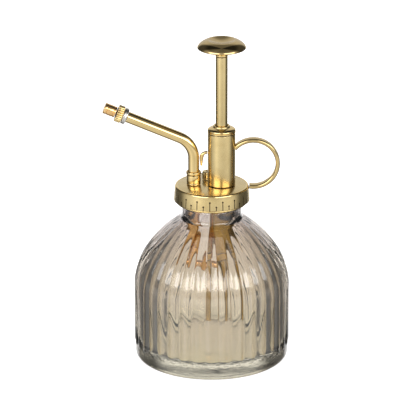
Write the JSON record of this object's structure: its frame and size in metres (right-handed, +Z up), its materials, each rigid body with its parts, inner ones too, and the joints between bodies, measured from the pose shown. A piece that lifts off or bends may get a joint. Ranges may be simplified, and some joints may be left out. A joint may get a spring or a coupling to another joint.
{
  "type": "hand mister",
  "caption": "Hand-held plant mister: ribbed glass bottle with a screw-on brass pump head, thumb plunger, finger ring and angled spray spout.",
  "frame": {"origin": "centre of the bottle's flat underside", "axes": "+Z up along the bottle's axis; the spout points along -X and the finger ring along +X"},
  "size_m": [0.0899, 0.075, 0.1601],
  "materials": {
    "ribbed_glass": "champagne lustre, ribbed",
    "satin_brass": "satin",
    "polished_brass": "polished",
    "dark_bronze": "polished dark bronze",
    "copper": "satin copper plate",
    "steel": "bright",
    "black_rubber": "matt",
    "white_plastic": "smooth"
  },
  "bodies": {
    "bottle": {"glass_bottle": "ribbed_glass"},
    "gasket": {"neck_gasket": "black_rubber"},
    "head": {"cap_shell": "satin_brass", "cap_liner": "polished_brass", "pump_sleeve": "satin_brass", "pump_cylinder": "polished_brass", "gland_nut": "polished_brass", "rod_bushing": "white_plastic", "rod_seal": "black_rubber", "finger_ring": "satin_brass", "spout_socket": "satin_brass", "socket_ring": "polished_brass", "spout_tube": "satin_brass", "spout_brace": "satin_brass", "vent_post": "satin_brass", "outlet_manifold": "copper", "valve_housing": "polished_brass", "inlet_cage": "steel", "dip_tube": "satin_brass", "outlet_duct": "copper", "outlet_seat": "steel", "outlet_spring": "steel", "return_spring": "steel", "spout_end_ring": "steel"},
    "plunger": {"plunger_rod": "polished_brass", "button": "dark_bronze", "button_ferrule": "polished_brass", "piston": "polished_brass", "piston_cup": "black_rubber", "piston_washer": "steel", "piston_screw": "steel"},
    "nozzle": {"nozzle_tip": "copper", "knurled_ring": "polished_brass", "nozzle_seal": "black_rubber", "swirl_core": "steel"},
    "inlet_check": {"inlet_ball": "steel"},
    "outlet_check": {"outlet_ball": "steel"}
  },
  "joints": [
    {"name": "head_lift", "type": "slide", "parent": "bottle", "child": "gasket", "axis": [0, 0, 1], "range_m": [0, 0.0038]},
    {"name": "cap_turn", "type": "hinge", "parent": "gasket", "child": "head", "pos_m": [0, 0, 0.0875], "axis": [0, 0, 1], "range_deg": [0, 450]},
    {"name": "plunger_press", "type": "slide", "parent": "head", "child": "plunger", "axis": [0, 0, -1], "range_m": [0, 0.03], "stiffness_N_per_m": 150, "springref_m": -0.01, "deforming": ["return_spring"]},
    {"name": "nozzle_turn", "type": "hinge", "parent": "head", "child": "nozzle", "pos_m": [-0.04046, 0, 0.12162], "axis": [-0.9232, 0, 0.3843], "range_deg": [0, 270]},
    {"name": "inlet_ball_lift", "type": "slide", "parent": "head", "child": "inlet_check", "axis": [0, 0, 1], "range_m": [0, 0.0012]},
    {"name": "outlet_ball_lift", "type": "slide", "parent": "head", "child": "outlet_check", "axis": [0, 0, 1], "range_m": [0, 0.0008], "stiffness_N_per_m": 40, "springref_m": -0.001, "deforming": ["outlet_spring"]}
  ],
  "couplings": [
    {"joint": "head_lift", "follows": "cap_turn", "m_per_rad": 0.00047746}
  ]
}
